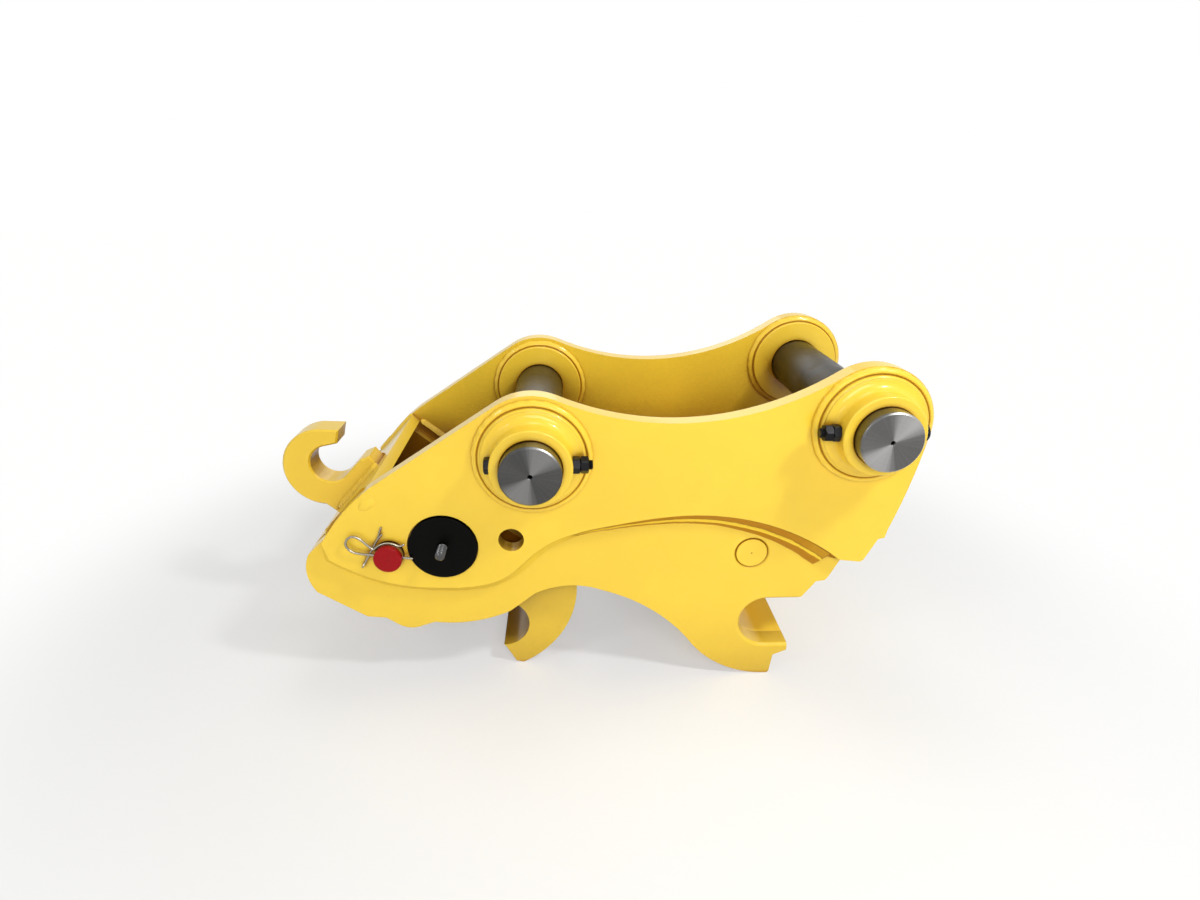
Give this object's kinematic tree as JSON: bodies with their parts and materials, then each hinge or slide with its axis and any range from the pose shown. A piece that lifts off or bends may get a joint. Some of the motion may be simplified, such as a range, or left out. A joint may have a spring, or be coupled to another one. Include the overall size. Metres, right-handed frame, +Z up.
{
  "type": "excavator quick coupler",
  "caption": "Hydraulic quick coupler for a large excavator: two pinned side frames, a fixed hook, a moving hook on a hidden cylinder, a lifting hook and a parked safety pin.",
  "frame": {"origin": "axis of the arm pin, at the middle of the coupler's width", "axes": "+X from the arm pin's end towards the fixed hook, +Y to the left side, across the coupler along its pins, +Z up, as it stands on the tips of its two hooks"},
  "size_m": [1.3852, 0.7, 0.7446],
  "materials": {
    "yellow_paint": "glossy",
    "pin_steel": "turned, dull",
    "black_oxide": "satin",
    "black_paint": "satin",
    "bronze": "satin",
    "plated_steel": "bright",
    "rod_chrome": "polished",
    "red_paint": "glossy"
  },
  "bodies": {
    "frame": {"right_side_plate": "yellow_paint", "left_side_plate": "yellow_paint", "right_hook_plate": "yellow_paint", "left_hook_plate": "yellow_paint", "right_seam_weld": "yellow_paint", "left_seam_weld": "yellow_paint", "right_arm_pin_boss": "yellow_paint", "left_arm_pin_boss": "yellow_paint", "right_link_pin_boss": "yellow_paint", "left_link_pin_boss": "yellow_paint", "right_arm_inner_boss": "yellow_paint", "left_arm_inner_boss": "yellow_paint", "right_link_inner_boss": "yellow_paint", "left_link_inner_boss": "yellow_paint", "rear_cover_plate": "yellow_paint", "nose_plate": "yellow_paint", "front_cross_plate": "yellow_paint", "deck_plate": "yellow_paint", "front_jaw_saddle": "yellow_paint", "hook_toe_plate": "yellow_paint", "lifting_hook": "yellow_paint", "right_hinge_boss": "yellow_paint", "left_hinge_boss": "yellow_paint", "cylinder_anchor_bar": "yellow_paint", "arm_pin": "pin_steel", "link_pin": "pin_steel", "hinge_pin": "pin_steel", "pin_lock_bolts": "black_oxide", "pin_lock_nuts": "black_oxide", "right_hinge_cap": "black_paint", "left_hinge_cap": "black_paint", "hinge_studs": "black_oxide", "right_thrust_washer": "bronze", "left_thrust_washer": "bronze"},
    "moving_hook": {"right_hook_cheek": "yellow_paint", "left_hook_cheek": "yellow_paint", "hook_lip_web": "yellow_paint", "hook_bushes": "bronze", "lever_pin": "pin_steel"},
    "cylinder": {"cylinder_barrel": "yellow_paint", "cylinder_gland": "black_paint", "cylinder_ports": "plated_steel"},
    "rod": {"cylinder_rod": "rod_chrome", "cylinder_piston": "pin_steel"},
    "safety_pin": {"safety_pin": "plated_steel", "safety_pin_cap": "red_paint"},
    "clip": {"safety_clip": "plated_steel", "safety_cotter": "plated_steel"}
  },
  "joints": [
    {"name": "hook_hinge", "type": "hinge", "parent": "frame", "child": "moving_hook", "pos_m": [-0.19, 0, -0.2], "axis": [0, -1, 0], "range_deg": [0, 28]},
    {"name": "cylinder_tilt", "type": "hinge", "parent": "frame", "child": "cylinder", "pos_m": [0.466, 0, -0.237], "axis": [0, -1, 0], "range_deg": [0, 0.9]},
    {"name": "rod_slide", "type": "slide", "parent": "cylinder", "child": "rod", "axis": [0.9943, 0, 0.1063], "range_m": [0, 0.0545]},
    {"name": "safety_pin_slide", "type": "slide", "parent": "frame", "child": "safety_pin", "axis": [0, -1, 0], "range_m": [0, 0.56]},
    {"name": "clip_slide", "type": "slide", "parent": "safety_pin", "child": "clip", "axis": [-0.9934, 0, 0.1149], "range_m": [0, 0.09]}
  ],
  "couplings": [
    {"joint": "cylinder_tilt", "follows": "hook_hinge", "ratio": 0.032},
    {"joint": "rod_slide", "follows": "hook_hinge", "m_per_rad": 0.1115}
  ]
}
